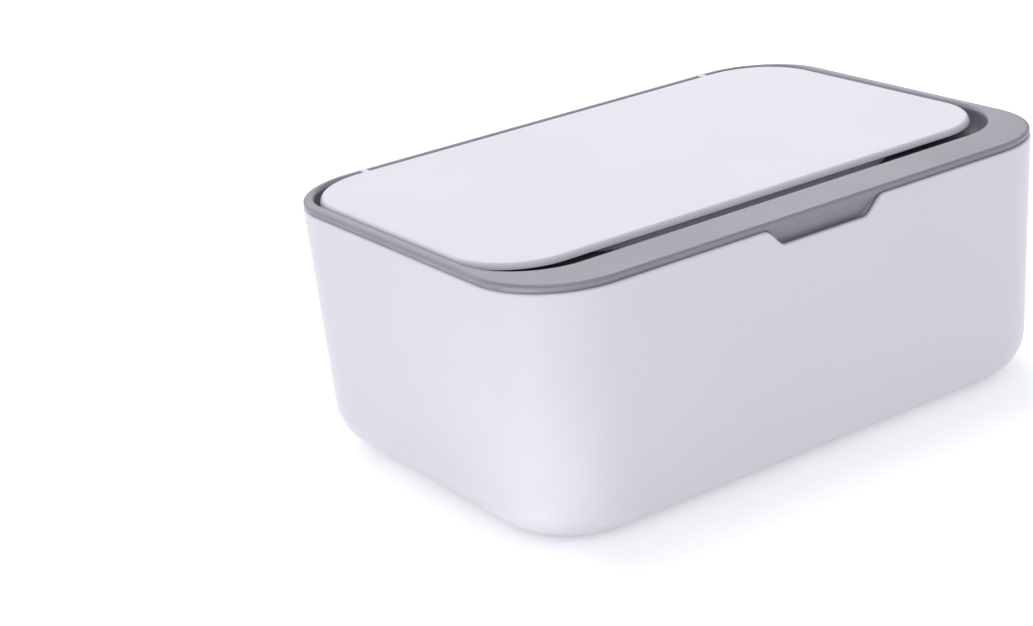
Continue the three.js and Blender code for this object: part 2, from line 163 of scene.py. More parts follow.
# Grey polypropylene, injection moulded in a finely etched tool: flatter than the white, slightly blue
greyPolypropylene = mouldedFinish("greyPolypropylene", {
    "colour": "#7C7D85", "cloudColour": "#808188", "cloudSize": 40,
    "roughness": 0.34, "roughnessSpread": 0.03, "ior": 1.49, "shine": 0.5,
    "grainSize": 0.4, "grainDepth": 0.012, "grainStrength": 0.3,
    "glow": 0.0, "glowDepth": 1,
})

# Silicone rubber, compression moulded: soft milky grey that lets a little light in
greySilicone = mouldedFinish("greySilicone", {
    "colour": "#C9C9CE", "cloudColour": "#CECED3", "cloudSize": 25,
    "roughness": 0.55, "roughnessSpread": 0.04, "ior": 1.41, "shine": 0.5,
    "grainSize": 0.5, "grainDepth": 0.01, "grainStrength": 0.3,
    "glow": 0.15, "glowDepth": 1.5,
})

# Thermoplastic elastomer, moulded: the soft white mouth, matt and a little cloudy
whiteElastomer = mouldedFinish("whiteElastomer", {
    "colour": "#DFDFE4", "cloudColour": "#E4E4E8", "cloudSize": 25,
    "roughness": 0.6, "roughnessSpread": 0.04, "ior": 1.5, "shine": 0.5,
    "grainSize": 0.5, "grainDepth": 0.015, "grainStrength": 0.35,
    "glow": 0.15, "glowDepth": 1.5,
})

# Anti-slip rubber, moulded: mid grey and dull, with a coarse grain that grips
footRubber = mouldedFinish("footRubber", {
    "colour": "#8A8A90", "cloudColour": "#919197", "cloudSize": 6,
    "roughness": 0.8, "roughnessSpread": 0.05, "ior": 1.52, "shine": 0.5,
    "grainSize": 0.6, "grainDepth": 0.03, "grainStrength": 0.5,
    "glow": 0.0, "glowDepth": 1,
})
print("materials made")

# Outlines. Every piece is a stack of rounded rectangles that are even about x = 0. An outline is five
# numbers: half length, front y, back y, front corner radius and back corner radius.

outlineGrowth = np.array([1.0, -1.0, 1.0, 1.0, 1.0])
supportShare = 0.4        # of half a straight side, the most that a point beside a corner is moved along it
sameRow = 1e-6            # rows nearer than this are one row
sharpAngle = 35           # degrees from which an edge is shaded as an edge


def grown(outline, by):
    # The outline moved outwards by a distance, or by one distance for each row
    return outline + np.multiply.outer(by, outlineGrowth)


def evenShares(count, reach=0.8):
    # Shares of half a straight side, evenly spaced over both halves
    return np.linspace(-reach, reach, count)


def makeLap(front=(), back=(), cornerSteps=32, support=2.0):
    # One lap round a rounded rectangle, counter-clockwise from above, as six numbers for each point: its
    # share of the way from the middle to the corners' centres in x and y, the cosine and sine of its
    # angle there, and a shift along the side. Each corner has a point on the straight just before it
    # and just after it, so that the flat sides shade flat, and the front and back sides have points at
    # the shares of their straight half that are asked for.
    def side(shares, signY):
        shares = np.array(shares, float)
        none = 0 * shares
        return np.stack([shares, none + signY, none, none + signY, none, none])

    def corner(turn, signX, signY):
        angle = (turn + np.linspace(0, 1, cornerSteps + 1)) * math.pi / 2
        cos, sin, along = np.cos(angle), np.sin(angle), 0 * angle
        cos, sin = [np.concatenate([part[:1], part, part[-1:]]) for part in (cos, sin)]
        along = np.concatenate([[-support], along, [support]])
        return np.stack([0 * cos + signX, 0 * cos + signY, cos, sin, -sin * along, cos * along])

    return np.concatenate([
        side(front, -1), corner(-1, 1, -1), corner(0, 1, 1),
        side(back[::-1], 1), corner(1, -1, 1), corner(2, -1, -1),
    ], axis=1)


def lapPoints(lap, outlines):
    # x and y of every lap point on every outline: corner centre plus radius times cosine and sine,
    # plus the shift along the straight. The outlines are rows by five, or rows by lap points by five
    # where they differ along the lap.
    shareX, signY, cos, sin, shiftX, shiftY = lap
    if outlines.ndim == 2:
        outlines = outlines[:, None]
    half, front, back, frontRadius, backRadius = np.moveaxis(outlines, -1, 0)
    radius = np.where(signY < 0, frontRadius, backRadius)
    roomX = supportShare * (half - radius)
    roomY = supportShare / 2 * (back - front - frontRadius - backRadius)
    x = shareX * (half - radius) + radius * cos + np.clip(shiftX, -roomX, roomX)
    y = np.where(signY < 0, front + radius, back - radius) + radius * sin + np.clip(shiftY, -roomY, roomY)
    return x, y


def arc(offset, z, radius, start, end, steps=8, rise=None):
    # Rows over a rounded edge: offset plus radius times cosine, height plus rise times sine, where
    # 0 degrees points outwards and 90 points up. The rise is the radius where none is given.
    angle = np.radians(np.linspace(start, end, steps + 1))
    height = radius if rise is None else rise
    return np.stack([offset + radius * np.cos(angle), z + height * np.sin(angle)], axis=1)


def profile(*parts):
    # Offsets and heights of all the rows of a section, from single pairs and arcs that may touch
    rows = np.concatenate([np.atleast_2d(np.array(part, float)) for part in parts])
    step = np.abs(np.diff(rows, axis=0)).max(axis=1)
    return rows[np.concatenate([[True], step > sameRow])]


def rowsOf(*sections):
    # Outlines and heights of a whole piece. Each section is an outline, or a function that gives the
    # outline at each height, with its profile.
    outlines, heights = [], []
    for family, rows in sections:
        offset, z = rows.T
        base = family(z) if callable(family) else family
        outlines.append(grown(base, offset))
        heights.append(z)
    return np.concatenate(outlines), np.concatenate(heights)


def meshPiece(name, points, closed, material):
    # A grid of rows by lap points as one closed mesh. Either its last row joins its first, or its
    # first and last rows are capped with a flat face.
    rows, around = points.shape[:2]
    index = np.arange(rows * around).reshape(rows, around)
    upper = np.roll(index, -1, axis=0)
    if not closed:
        index, upper = index[:-1], upper[:-1]
    quads = np.stack([index, np.roll(index, -1, axis=1), np.roll(upper, -1, axis=1), upper], axis=-1)
    faces = quads.reshape(-1, 4).tolist()
    if not closed:
        faces += [index[0, ::-1].tolist(), upper[-1].tolist()]
    mesh = bpy.data.meshes.new(name)
    mesh.from_pydata((points.reshape(-1, 3) * mm).tolist(), [], faces)
    return finishedPiece(name, mesh, material)


def finishedPiece(name, mesh, material):
    # An object with its one material, shaded smooth up to the angle where an edge begins
    mesh.shade_smooth()
    mesh.set_sharp_from_angle(angle=math.radians(sharpAngle))
    mesh.materials.clear()
    mesh.materials.append(material)
    piece = bpy.data.objects.new(name, mesh)
    bpy.context.collection.objects.link(piece)
    return piece


def stackPiece(name, lap, rows, material, closed=False, at=(0, 0)):
    # A piece from its lap and rows, moved in plan where it isn't in the middle
    outlines, heights = rows
    x, y = lapPoints(lap, outlines)
    z = np.broadcast_to(heights[:, None], x.shape)
    return meshPiece(name, np.stack([x + at[0], y + at[1], z], axis=-1), closed, material)


def barAlongX(name, section, stations, material):
    # A bar along X: a closed line of y and z, repeated at each station, which gives its x and how far
    # the line is drawn in there
    section = np.array(section, float)
    edge = np.roll(section, -1, axis=0) - np.roll(section, 1, axis=0)
    inward = np.stack([-edge[:, 1], edge[:, 0]], axis=1) / np.linalg.norm(edge, axis=1)[:, None]
    x, drawnIn = np.array(stations, float).T
    yz = section[None] + inward[None] * drawnIn[:, None, None]
    points = np.concatenate([np.broadcast_to(x[:, None, None], yz.shape[:2] + (1,)), yz], axis=-1)
    return meshPiece(name, points, False, material)


def joined(piece, tools, operation):
    # Cuts the tools out of the piece or joins them to it, and takes them away
    material = piece.data.materials[0]
    for tool in tools:
        modifier = piece.modifiers.new("tool", "BOOLEAN")
        modifier.operation = operation
        modifier.solver = "EXACT"
        modifier.object = tool
    depsgraph = bpy.context.evaluated_depsgraph_get()
    mesh = bpy.data.meshes.new_from_object(piece.evaluated_get(depsgraph))
    name = piece.name
    for thing in [piece, *tools]:
        bpy.data.objects.remove(thing)
    return finishedPiece(name, mesh, material)


# The tub. Its walls taper from the rim down to the base.

tub = {
    "rimRadius": 30.3,
    "baseRadius": 31.6,
    "endTaper": 1.05,
    "sideTaper": 3.05,
    "baseFillet": 15.2,
    "wall": 2.4,
    "floor": 2.4,
    "lip": 1.2,
    "lipDepth": 10,
    "lipEdge": 0.15,
    "rimRound": 0.7,
    "holdGap": 3,             # between a rounding and the row that keeps the wall beyond it flat
    "wallRows": (12, 1),      # depths of two such rows under the rim
    "notchTop": 49.6,
    "notchFloor": 32.4,
    "notchShift": 1.4,        # the photo shows it a little to the right of the middle
    "notchDepth": 6,
    "notchFollow": 2,         # rows that are this near the rim fall with the notch
    "notchReach": 26,         # half the width in which the rim has fine points for the notch
    "notchPoints": 131,
}
baseZ, rimZ = tubLow[2], tubHigh[2]
shoulderZ = rimZ - tub["lipDepth"]
rimOutline = np.array([tubHigh[0], tubLow[1], tubHigh[1], tub["rimRadius"], tub["rimRadius"]])
baseOutline = np.array([
    tubHigh[0] - tub["endTaper"], tubLow[1] + tub["sideTaper"], tubHigh[1] - tub["sideTaper"],
    tub["baseRadius"], tub["baseRadius"],
])


def tubOutline(z):
    # The outside of the tub's walls at a height, in line from base to rim
    share = (np.asarray(z) - baseZ) / (rimZ - baseZ)
    return baseOutline + np.multiply.outer(share, rimOutline - baseOutline)


def notchDrop(lap):
    # How far the front rim falls at each lap point: half a cosine wave on each side of the notch
    floorHalf, topHalf = tub["notchFloor"] / 2, tub["notchTop"] / 2
    x = lap[0] * (rimOutline[0] - rimOutline[3])
    share = np.clip((np.abs(x - tub["notchShift"]) - floorHalf) / (topHalf - floorHalf), 0, 1)
    return np.where(lap[1] < 0, tub["notchDepth"] * (1 + np.cos(math.pi * share)) / 2, 0)


def makeTub():
    # Outlines up the outside, over a quarter circle, the leaning wall and the rim's round, and down the
    # inside, over the lip, its shoulder, the wall and a smaller quarter circle. The rows at the rim fall
    # by the notch's drop.
    fine = tub["notchShift"] + tub["notchReach"] * np.linspace(-1, 1, tub["notchPoints"])
    lap = makeLap(front=fine / (rimOutline[0] - rimOutline[3]), support=3)
    fillet, wall, lip, rimRound = tub["baseFillet"], tub["wall"], tub["lip"], tub["rimRound"]
    floorTop = baseZ + tub["floor"]
    inner = fillet - wall
    edge, hold = tub["lipEdge"], tub["holdGap"]
    outside = profile(
        arc(-fillet, baseZ + fillet, fillet, -90, 0, steps=20),
        (0, baseZ + fillet + hold),
        *[(0, rimZ - depth) for depth in tub["wallRows"]],
        arc(-rimRound, rimZ - rimRound, rimRound, 0, 90, steps=6),
    )
    inside = profile(
        arc(edge - lip, rimZ - edge, edge, 90, 180, steps=3),
        (-lip, shoulderZ), (-wall + edge, shoulderZ),
        (-wall, shoulderZ - edge), (-wall, shoulderZ - hold), (-wall, floorTop + inner + hold),
        arc(-wall - inner, floorTop + inner, inner, 0, -90, steps=16),
    )
    offset, z = np.concatenate([outside, inside]).T
    follow = np.where(z > rimZ - tub["notchFollow"], 1.0, 0.0)
    heights = z[:, None] - follow[:, None] * notchDrop(lap)
    outlines = grown(tubOutline(heights), np.broadcast_to(offset[:, None], heights.shape))
    x, y = lapPoints(lap, outlines)
    return meshPiece("tubShell", np.stack([x, y, heights], axis=-1), False, whitePolypropylene)


tubShell = makeTub()
print("tub made")

# The four rubber feet, and the recesses for them in the tub's floor

foot = {"recessGap": 0.2, "edge": 0.5, "dish": 0.25, "dishRadius": 3.6, "dishSlope": 1, "cutBelow": 2}
footNodes = ["foot_front_left", "foot_front_right", "foot_back_left", "foot_back_right"]
turn = np.linspace(0, 2 * math.pi, num=96, endpoint=False)
roundLap = np.stack([0 * turn, 0 * turn, np.cos(turn), np.sin(turn), 0 * turn, 0 * turn])
footShells = []
recesses = []
for node in footNodes:
    low, high = boxOf(node)
    radius = (high[0] - low[0]) / 2
    centre = (low + high) / 2
    disc = np.array([radius, -radius, radius, radius, radius])
    edge = foot["edge"]
    rows = rowsOf((disc, profile(
        (foot["dishRadius"] - foot["dishSlope"] - radius, foot["dish"]), (foot["dishRadius"] - radius, 0),
        arc(-edge, edge, edge, -90, 0, steps=6), (0, high[2]),
    )))
    name = "foot" + "".join(word.capitalize() for word in node.split("_")[1:])
    shell = stackPiece(name, roundLap, rows, footRubber, at=centre[:2])
    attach(shell, "base")
    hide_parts(node)
    footShells.append(shell)
    gap = foot["recessGap"]
    recessRows = rowsOf((disc, profile((gap, -foot["cutBelow"]), (gap, high[2]))))
    recesses.append(stackPiece(name + "Recess", roundLap, recessRows, whitePolypropylene, at=centre[:2]))

tubShell = joined(tubShell, recesses, "DIFFERENCE")
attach(tubShell, "base")
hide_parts("tub")
print("feet made")

# The cover frame: flange, front band, hollow dish, collar, skirt and its gasket groove

cover = {
    "seatGap": 0.05,          # between the flange and the tub's rim, which it rests on
    "flangeInset": 0.3,       # from the tub's rim in to the flange's edge
    "edgeRun": 1.0,           # the flange's outer edge is a quarter of an ellipse on top
    "edgeRise": 0.8,
    "sideRun": 1.6,           # a wider one on the left and right
    "sideRise": 0.9,
    "backRun": 3.2,           # and along the back, where it overlaps the dish's edge by about 0.5 mm
    "backRise": 1.2,
    "backDip": 0.5,           # where the top falls a little too
    "dipFrom": 40,
    "sideLean": 0.42,         # how far its side leans in for each millimetre down, at the top
    "leanReach": 7,
    "leanBack": 0.45,         # how much of the lean is taken back on the other three sides, in mm
    "pullGap": 0.3,           # between the finger pull and the edge of the tub's notch
    "pullSoft": 0.8,
    "pullRows": 21,
    "pullBelow": 0.1,         # how far it goes on under the notch, and the step back to the skirt there
    "pullStep": 0.01,
    "plugGap": 0.35,
    "skirt": 1.8,
    "leadIn": 0.3,
    "wall": 1.9,
    "frontBand": 17.85,
    "sideRim": 4.7,
    "backRim": 4.7,
    "dishRadius": 26,
    "dishBackRadius": 23.5,
    "dishDepth": 7.6,
    "dishEdge": 1.5,
    "collarInset": 2.5,       # from the lid's outer wall to the collar
    "collar": 2.2,
    "collarHeight": 2.0,
    "grooveDepth": 1.0,
    "grooveGap": 0.05,
    "smallRound": 0.3,
    "lowEdge": 0.2,
    "ribCount": 5,
    "rib": 1.4,
    "ribTurn": 75,            # how far round the dish's wall a rib follows it, in degrees
    "weld": 0.3,              # how far ribs and bosses go into the walls that they join
    "coarseShares": (0.4, 0.9, 6),        # points along the front beside the notch: from, to, how many
}
mouth = {
    "length": 94, "width": 64, "radius": 24,
    "neckGap": 0.05, "rim": 1.6, "flangeRound": 0.7,
    "bowlDepth": 4.8, "skin": 1.4, "slotLip": 6, "slotLength": 62, "slotWidth": 9, "slotRound": 0.5,
    "slotCorner": 0.01,       # how much its corner radius is smaller than half its width
    "clip": 1.2, "clipLap": 1.2, "clipEdge": 0.2, "underGap": 0.05,
}
seal = {
    "length": 140, "width": 92, "radius": 23,
    "outerWall": 1.6, "ring": 4, "ringGap": 0.05, "innerWall": 1.4, "bead": 1,
}

topZ = coverHigh[2]
dishFloorZ = topZ - cover["dishDepth"]
dishUnderZ = dishFloorZ - cover["wall"]
flangeUnderZ = rimZ + cover["seatGap"]
dishOutline = rimOutline + np.array([
    -cover["sideRim"], cover["frontBand"], -cover["backRim"],
    cover["dishRadius"] - tub["rimRadius"], cover["dishBackRadius"] - tub["rimRadius"],
])


def centredOutline(length, width, radius):
    # A rounded rectangle round the middle of the box
    return np.array([length / 2, -width / 2, width / 2, radius, radius])


mouthOutline = centredOutline(mouth["length"], mouth["width"], mouth["radius"])
sealOutline = centredOutline(seal["length"], seal["width"], seal["radius"])


def skirtOutline(z):
    # The skirt stands inside the tub's lip and leans with the tub's walls
    return grown(tubOutline(z), np.full(np.shape(z), -tub["lip"] - cover["plugGap"]))


def ontoOutline(outlines, x, y):
    # The signed distance of each point from its rounded rectangle, and the nearest point on it: the
    # point less its distance times the slope of the distance
    half, front, back, radius = outlines.T[:4]
    middle = (front + back) / 2
    overX = np.abs(x) - half + radius
    overY = np.abs(y - middle) - (back - front) / 2 + radius
    atCorner = (overX > 0) & (overY > 0)
    length = np.where(atCorner, np.hypot(overX, overY), 1)
    slopeX = np.sign(x) * np.where(atCorner, overX / length, overX > overY)
    slopeY = np.sign(y - middle) * np.where(atCorner, overY / length, overX <= overY)
    distance = np.where(atCorner, length, np.maximum(overX, overY)) - radius
    return distance, x - distance * slopeX, y - distance * slopeY


def skirtInside(z):
    # The skirt's inner face
    return grown(skirtOutline(z), np.full(z.shape, -cover["skirt"]))


def hollowRows(lap, startX, startY, startZ):
    # The hollow under the flange: up the skirt's inner face from its low edge, across to the dish's
    # wall and down that wall. Where the skirt's face and the wall meet below the flange is found by
    # halving the range of the wall's angle, at every lap point at once.
    halvings, skirtSteps, wallSteps, narrow = 30, 8, 16, 0.01
    sweep = cover["dishDepth"] - cover["dishEdge"]
    reach = sweep + cover["wall"]
    drop = topZ - cover["dishEdge"]

    def wallPoint(angle):
        x, y = lapPoints(lap, grown(dishOutline, reach * np.sin(angle) - sweep)[None])
        return x[0], y[0], drop - reach * np.cos(angle)

    flat = math.acos((drop - flangeUnderZ) / reach)
    low = np.zeros(lap.shape[1])
    high = np.full(lap.shape[1], flat)
    for _ in range(halvings):
        angle = (low + high) / 2
        x, y, z = wallPoint(angle)
        inside = ontoOutline(skirtInside(z), x, y)[0] < 0
        low, high = np.where(inside, angle, low), np.where(inside, high, angle)
    meetX, meetY, meetZ = wallPoint(low)
    topX, topY = ontoOutline(skirtInside(meetZ), meetX, meetY)[1:]
    rows = []
    for share in np.linspace(0, 1, skirtSteps + 1)[1:]:
        x = startX + (topX - startX) * share
        y = startY + (topY - startY) * share
        z = startZ + (meetZ - startZ) * share
        rows.append(np.stack([*ontoOutline(skirtInside(z), x, y)[1:], z], axis=-1))
    across = np.hypot(topX - meetX, topY - meetY).max() > narrow
    for share in np.linspace(1, 0, wallSteps + 1)[0 if across else 1:]:
        rows.append(np.stack(wallPoint(low * share), axis=-1))
    return np.array(rows)


pullLowZ = rimZ - tub["notchDepth"] - cover["pullBelow"]


def sideInset(depth):
    # How far the flange's side and the finger pull stand in at a depth under the edge's rounding: its
    # lean times the depth at first, and less and less of it further down
    return cover["sideLean"] * cover["leanReach"] * np.tanh(depth / cover["leanReach"])


def pullShare(x, y, z):
    # Where the cover's skirt gives way to the finger pull: 1 well inside the tub's notch, 0 outside it,
    # and a smooth step between them. The notch's half width is that of its cosine side at the height.
    nearFront, tiny = 3, 0.001
    floorHalf, topHalf = tub["notchFloor"] / 2, tub["notchTop"] / 2
    depth = np.clip((rimZ - z) / tub["notchDepth"], 0, 1)
    halfWidth = topHalf + (floorHalf - topHalf) * np.arccos(1 - 2 * depth) / math.pi
    aside = np.abs(x - tub["notchShift"])
    share = np.clip((halfWidth - cover["pullGap"] - aside) / cover["pullSoft"], 0, 1)
    reach = (y < rimOutline[1] + nearFront) & (z >= pullLowZ - tiny) & (z <= flangeUnderZ)
    return np.where(reach, share * share * (3 - 2 * share), 0)


def makeCoverFrame():
    # One closed lap of rows: from the mouth's opening over the collar, up the dish's quarter circle and
    # over the top to the flange's edge, down its leaning side and the skirt with its groove, and back up
    # the hollow inside. In the tub's notch the skirt's rows move out to the finger pull by its share.
    straight = rimOutline[0] - rimOutline[3]
    coarse = np.linspace(*cover["coarseShares"])
    fine = (tub["notchShift"] + tub["notchReach"] * np.linspace(-1, 1, tub["notchPoints"])) / straight
    stations = np.concatenate([-coarse[::-1], fine, coarse])
    lap = makeLap(front=stations, back=evenShares(19, reach=0.9), support=2)
    sweep = cover["dishDepth"] - cover["dishEdge"]
    small, edge, groove = cover["smallRound"], cover["dishEdge"], cover["grooveDepth"]
    run, rise = cover["edgeRun"], cover["edgeRise"]
    collarTop = dishFloorZ + cover["collarHeight"]
    grooveLow, grooveHigh = gasketLow[2], gasketHigh[2] + cover["grooveGap"]
    thickness, lead, inset = cover["skirt"], cover["leadIn"], cover["flangeInset"]
    collarOut = -cover["collarInset"]
    collarIn = collarOut - cover["collar"]
    besideEdge, onFloor, lowEdge = 0.1, 1, cover["lowEdge"]
    neckRound = arc(small, dishFloorZ - small, small, 180, 90, steps=4)
    dish = rowsOf(
        (mouthOutline, profile((0, dishUnderZ), (0, dishFloorZ - small), neckRound)),
        (sealOutline, profile(
            (collarIn - small, dishFloorZ), (collarIn, dishFloorZ + small),
            arc(collarIn + small, collarTop - small, small, 180, 90, steps=4),
            arc(collarOut - small, collarTop - small, small, 90, 0, steps=4),
            (collarOut, dishFloorZ + small), (collarOut + small, dishFloorZ),
        )),
        (dishOutline, profile(
            (-sweep - onFloor, dishFloorZ),
            arc(-sweep, dishFloorZ + sweep, sweep, -90, 0, steps=24),
            arc(edge, topZ - edge, edge, 180, 90, steps=8),
            (edge + besideEdge, topZ),
        )),
    )
    flange = rowsOf((rimOutline, profile(
        (-inset - run - besideEdge, topZ),
        arc(-inset - run, topZ - rise, run, 90, 0, steps=16, rise=rise),
        (-inset - sideInset(topZ - rise - flangeUnderZ), flangeUnderZ),
    )))
    skirt = rowsOf((skirtOutline, profile(
        *[(0, height) for height in np.linspace(flangeUnderZ, pullLowZ, cover["pullRows"])],
        (0, pullLowZ - cover["pullStep"]),
        (0, grooveHigh), (-groove, grooveHigh), (-groove, grooveLow), (0, grooveLow),
        (0, coverLow[2] + lead), (-lead, coverLow[2]),
        (-thickness + lowEdge, coverLow[2]), (-thickness, coverLow[2] + lowEdge),
    )))
    x, y = lapPoints(lap, np.concatenate([dish[0], flange[0], skirt[0]]))
    z = np.broadcast_to(np.concatenate([dish[1], flange[1], skirt[1]])[:, None], x.shape)
    y = y + pullShare(x, y, z) * (rimOutline[1] + inset + sideInset(topZ - rise - z) - y)

    # The quarter ellipse of the flange's edge is stretched on the sides and the back: each of its rows
    # moves in by 1 less its cosine and down by 1 less its sine, times what is added there
    level = np.zeros(len(z))
    first, last = len(dish[1]), len(dish[1]) + len(flange[1]) - 1
    level[first:last] = np.clip((flange[1][:-1] - topZ + rise) / rise, 0, 1)
    down = np.zeros(len(z))
    down[first:last] = 1 - level[first:last]
    inwards = (1 - np.sqrt(1 - level * level))[:, None]
    side, back = lap[2] ** 2, np.clip(lap[3], 0, 1) ** 2
    moreRun = (cover["sideRun"] - run) * side + (cover["backRun"] - run) * back
    moreRise = (cover["sideRise"] - rise) * side + (cover["backRise"] - rise) * back
    low = np.zeros((len(z), 1))
    low[last] = cover["leanBack"]
    shift = low * np.maximum(side, back) - inwards * moreRun
    x = x + shift * lap[2]
    y = y + shift * lap[3]
    z = z - down[:, None] * moreRise

    # The top falls a little towards the back, by a smooth step that fades out down to the flange's foot
    height = np.clip((z - flangeUnderZ) / (topZ - flangeUnderZ), 0, 1)
    behind = np.clip((y - cover["dipFrom"]) / (rimOutline[2] - cover["dipFrom"]), 0, 1)
    z = z - cover["backDip"] * behind * behind * (3 - 2 * behind) * height

    under = hollowRows(lap, x[-1], y[-1], z[-1])
    points = np.concatenate([np.stack([x, y, z], axis=-1), under])
    return meshPiece("coverFrameShell", points[::-1], True, greyPolypropylene)


coverFrameShell = makeCoverFrame()
print("cover frame made")

# The hinge: two arms with knuckles and pegs on the lid, in two slots in the cover's back rim

lid = {
    "frontRadius": 25,
    "backRadius": 26,
    "backGap": 0.9,
    "edgeRun": 1.4,           # its edge is part of an ellipse that ends low down in a small round
    "edgeRise": 2.5,
    "edgeStart": 15,
    "edgeLow": 0.35,
    "lowRound": 0.25,
    "bevel": 1.4,
    "smallRound": 0.3,
    "holdGap": 0.6,           # between a rounding and the row that keeps the flat beyond it flat
    "topRow": 3,
}
hinge = {
    "inset": 29.5,
    "armWidth": 2.4,
    "armRoot": 6,
    "knuckle": 1.7,
    "peg": 0.9,
    "pegLength": 1.8,
    "pegChamfer": 0.4,
    "slotGap": 0.3,
    "runningGap": 0.07,
    "pegEndGap": 0.3,
    "slotChamfer": 0.5,
    "slotOver": 2,
    "boss": 1.6,
    "bossSlope": 0.5,
    "armRound": 0.3,
    "armWeld": 0.2,
}
hingeY = lidHigh[1] - hinge["knuckle"]
hingeZ = lidHigh[2] - hinge["knuckle"]
hingeX = [sign * (lidHigh[0] - hinge["inset"]) for sign in (-1, 1)]
lidUnderZ = sealHigh[2]
lidBackY = dishOutline[2] - lid["backGap"]


def circle(radius, start, end, steps):
    # y and z round the hinge's axis, where 0 degrees is to the back and 90 is up
    angle = np.radians(np.linspace(start, end, steps + 1))
    return np.stack([hingeY + radius * np.cos(angle), hingeZ + radius * np.sin(angle)], axis=1)


def makeSlotTool(name, x):
    # What is cut away for an arm: a slot that is open at the top and to the front
    floorZ = hingeZ - hinge["knuckle"] - hinge["slotGap"]
    backY = hingeY + hinge["knuckle"] + hinge["slotGap"]
    frontY = lidBackY - hinge["armRoot"]
    wideY, overZ = backY + hinge["slotChamfer"], topZ + hinge["slotOver"]
    section = [
        (frontY, floorZ), (backY, floorZ), (backY, hingeZ), (wideY, topZ), (wideY, overZ), (frontY, overZ),
    ]
    half = hinge["armWidth"] / 2 + hinge["slotGap"]
    return barAlongX(name, section, [(x - half, 0), (x + half, 0)], greyPolypropylene)


def makeBoreTool(name, x):
    # What is cut away for both pegs of an arm: a round bar with their running room
    half = hinge["armWidth"] / 2 + hinge["pegLength"] + hinge["pegEndGap"]
    section = circle(hinge["peg"] + hinge["runningGap"], 0, 360, steps=32)[:-1]
    return barAlongX(name, section, [(x - half, 0), (x + half, 0)], greyPolypropylene)


def makeHingeBoss(name, x):
    # The thick part of the back rim round a slot, reaching under it and past the pegs' bores
    half = hinge["armWidth"] / 2 + hinge["pegLength"] + hinge["pegEndGap"] + hinge["boss"]
    low = hingeZ - hinge["knuckle"] - hinge["slotGap"] - hinge["boss"]
    frontY = lidBackY - hinge["armRoot"]
    backY = skirtOutline(low)[2] - cover["weld"]
    upZ = flangeUnderZ + cover["weld"]
    section = [(frontY, low), (backY, low), (backY, upZ), (lidBackY, upZ), (frontY, low + hinge["bossSlope"])]
    return barAlongX(name, section, [(x - half, 0), (x + half, 0)], greyPolypropylene)


def makeRib(name, x):
    # A rib in the hollow under the front band, from the skirt's inner face to the dish's wall
    sweep = cover["dishDepth"] - cover["dishEdge"]
    reach = sweep + cover["wall"] - cover["weld"]
    angle = np.radians(np.linspace(0, cover["ribTurn"], num=13))
    wallY = dishOutline[1] + sweep - reach * np.sin(angle)
    wallZ = topZ - cover["dishEdge"] - reach * np.cos(angle)
    skirtY = skirtOutline(dishUnderZ)[1] + cover["skirt"] - cover["weld"]
    line = [(skirtY, dishUnderZ), *zip(wallY, wallZ), (skirtY, flangeUnderZ + cover["weld"])]
    line[1] = (wallY[0], dishUnderZ)
    half = cover["rib"] / 2
    return barAlongX(name, line, [(x - half, 0), (x + half, 0)], greyPolypropylene)


ribSpan = dishOutline[0] - cover["dishRadius"]
ribX = np.linspace(-ribSpan, ribSpan, cover["ribCount"])
additions = [makeRib(f"rib{i}", x) for i, x in enumerate(ribX)]
additions += [makeHingeBoss(f"boss{i}", x) for i, x in enumerate(hingeX)]
coverFrameShell = joined(coverFrameShell, additions, "UNION")
cuts = [makeSlotTool(f"slot{i}", x) for i, x in enumerate(hingeX)]
cuts += [makeBoreTool(f"bore{i}", x) for i, x in enumerate(hingeX)]
coverFrameShell = joined(coverFrameShell, cuts, "DIFFERENCE")
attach(coverFrameShell, "cover")
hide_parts("cover_frame")
print("hinge slots cut, vertices", len(coverFrameShell.data.vertices))

# The lid: a plate with softly rounded edges, two seal walls under it, and the hinge arms

lidOutline = np.array([lidHigh[0], lidLow[1], lidBackY, lid["frontRadius"], lid["backRadius"]])


def makeLid():
    # Outlines from the middle of the underside over the two seal walls, out to the edge and over it to
    # the top. The edge is a small round below and part of an ellipse above.
    lap = makeLap(front=evenShares(9), back=evenShares(9), support=2)
    ringInner = -seal["outerWall"] - seal["ring"]
    wallInner = ringInner - seal["innerWall"]
    innerLow = sealLow[2] + seal["bead"]
    small, hold, bevel = lid["smallRound"], lid["holdGap"], lid["bevel"]
    run, rise, low = lid["edgeRun"], lid["edgeRise"], lid["lowRound"]
    rows = rowsOf(
        (sealOutline, profile(
            (wallInner - small, lidUnderZ), (wallInner, lidUnderZ - small),
            arc(wallInner + small, innerLow + small, small, 180, 270, steps=4),
            arc(ringInner - small, innerLow + small, small, -90, 0, steps=4),
            (ringInner, lidUnderZ),
            (-seal["outerWall"], lidUnderZ),
            arc(-seal["outerWall"] + small, lidLow[2] + small, small, 180, 270, steps=4),
            arc(-small, lidLow[2] + small, small, -90, 0, steps=4),
            (0, lidUnderZ - small), (small, lidUnderZ),
        )),
        (lidOutline, profile(
            (-bevel - hold, lidUnderZ), (-bevel, lidUnderZ),
            arc(-low, lidUnderZ + lid["edgeLow"] + low, low, -70, 0, steps=5),
            arc(-run, lidHigh[2] - rise, run, lid["edgeStart"], 90, steps=20, rise=rise),
            (-run - hold, lidHigh[2]), (-run - lid["topRow"], lidHigh[2]),
        )),
    )
    return stackPiece("lidShell", lap, rows, whitePolypropylene)


